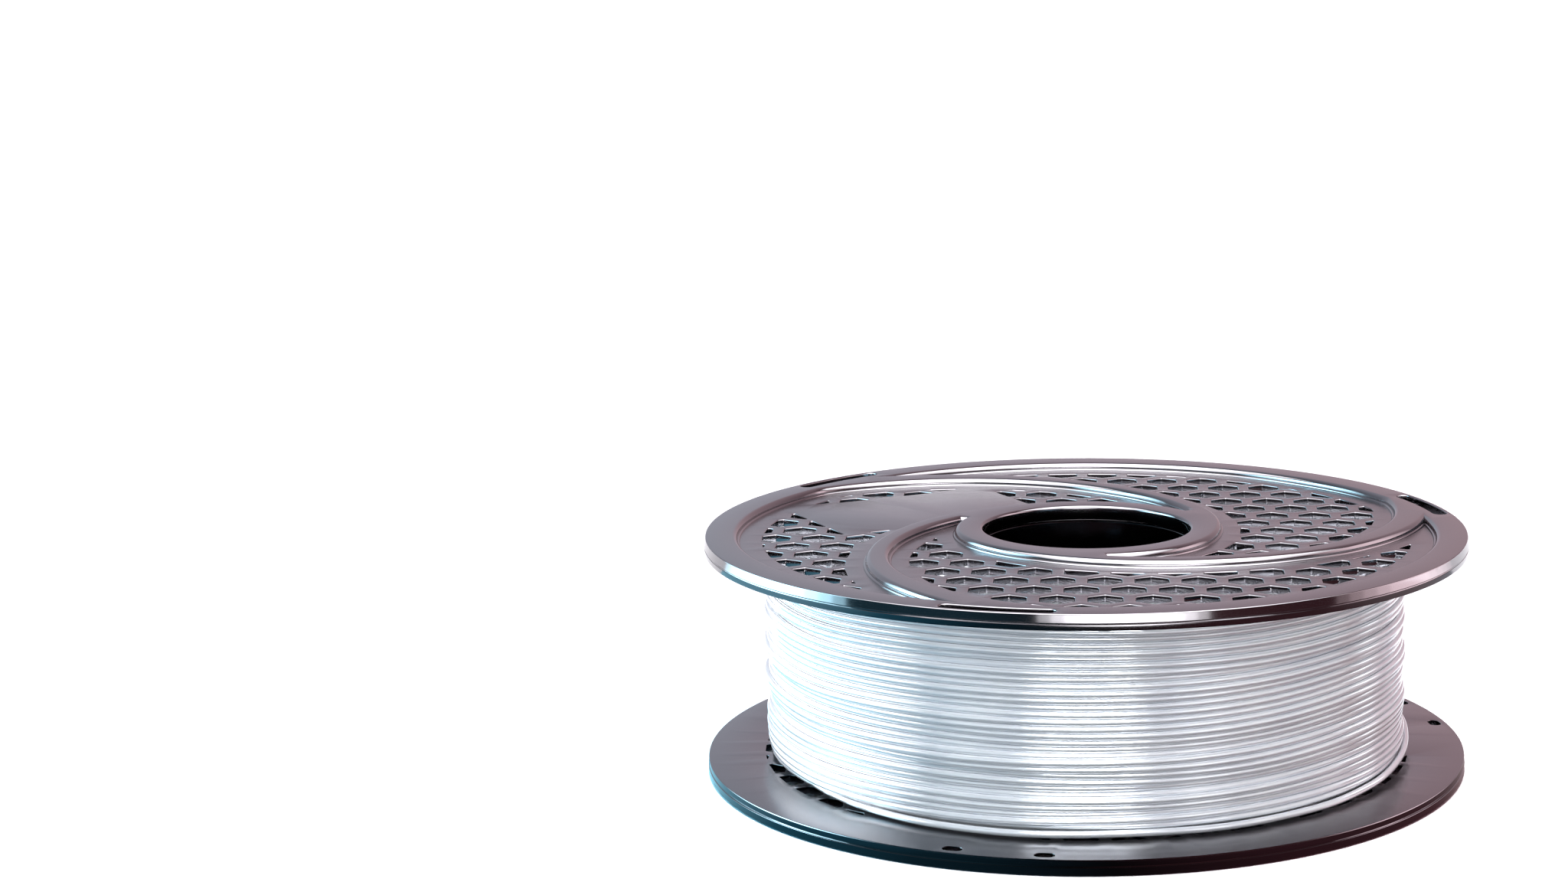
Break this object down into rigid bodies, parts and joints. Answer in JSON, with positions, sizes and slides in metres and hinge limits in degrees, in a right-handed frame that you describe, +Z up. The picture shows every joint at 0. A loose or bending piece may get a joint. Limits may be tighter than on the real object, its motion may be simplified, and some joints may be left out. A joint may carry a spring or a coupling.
{
  "type": "filament spool",
  "caption": "Round reel for 3D-printer filament: perforated flanges with swirl ribs on a hollow hub, wound with white strand.",
  "frame": {"origin": "centre of the lower flange's outer face, on the spool's axis, where the spool stands", "axes": "+Z up along the spool's axis, through the bore; X and Y across the flanges, with -Y towards the viewer of the picture"},
  "size_m": [0.2, 0.2, 0.0626],
  "materials": {
    "flange_plastic": "glossy moulded dark grey plastic with a slight metallic sheen",
    "core_plastic": "semi-gloss moulded plastic",
    "filament": "silky gloss, slightly translucent white strand"
  },
  "bodies": {
    "root": {"upper_flange": "flange_plastic", "lower_flange": "flange_plastic", "core": "core_plastic", "filament_winding": "filament", "filament_tail": "filament", "filament_start": "filament"}
  },
  "joints": []
}
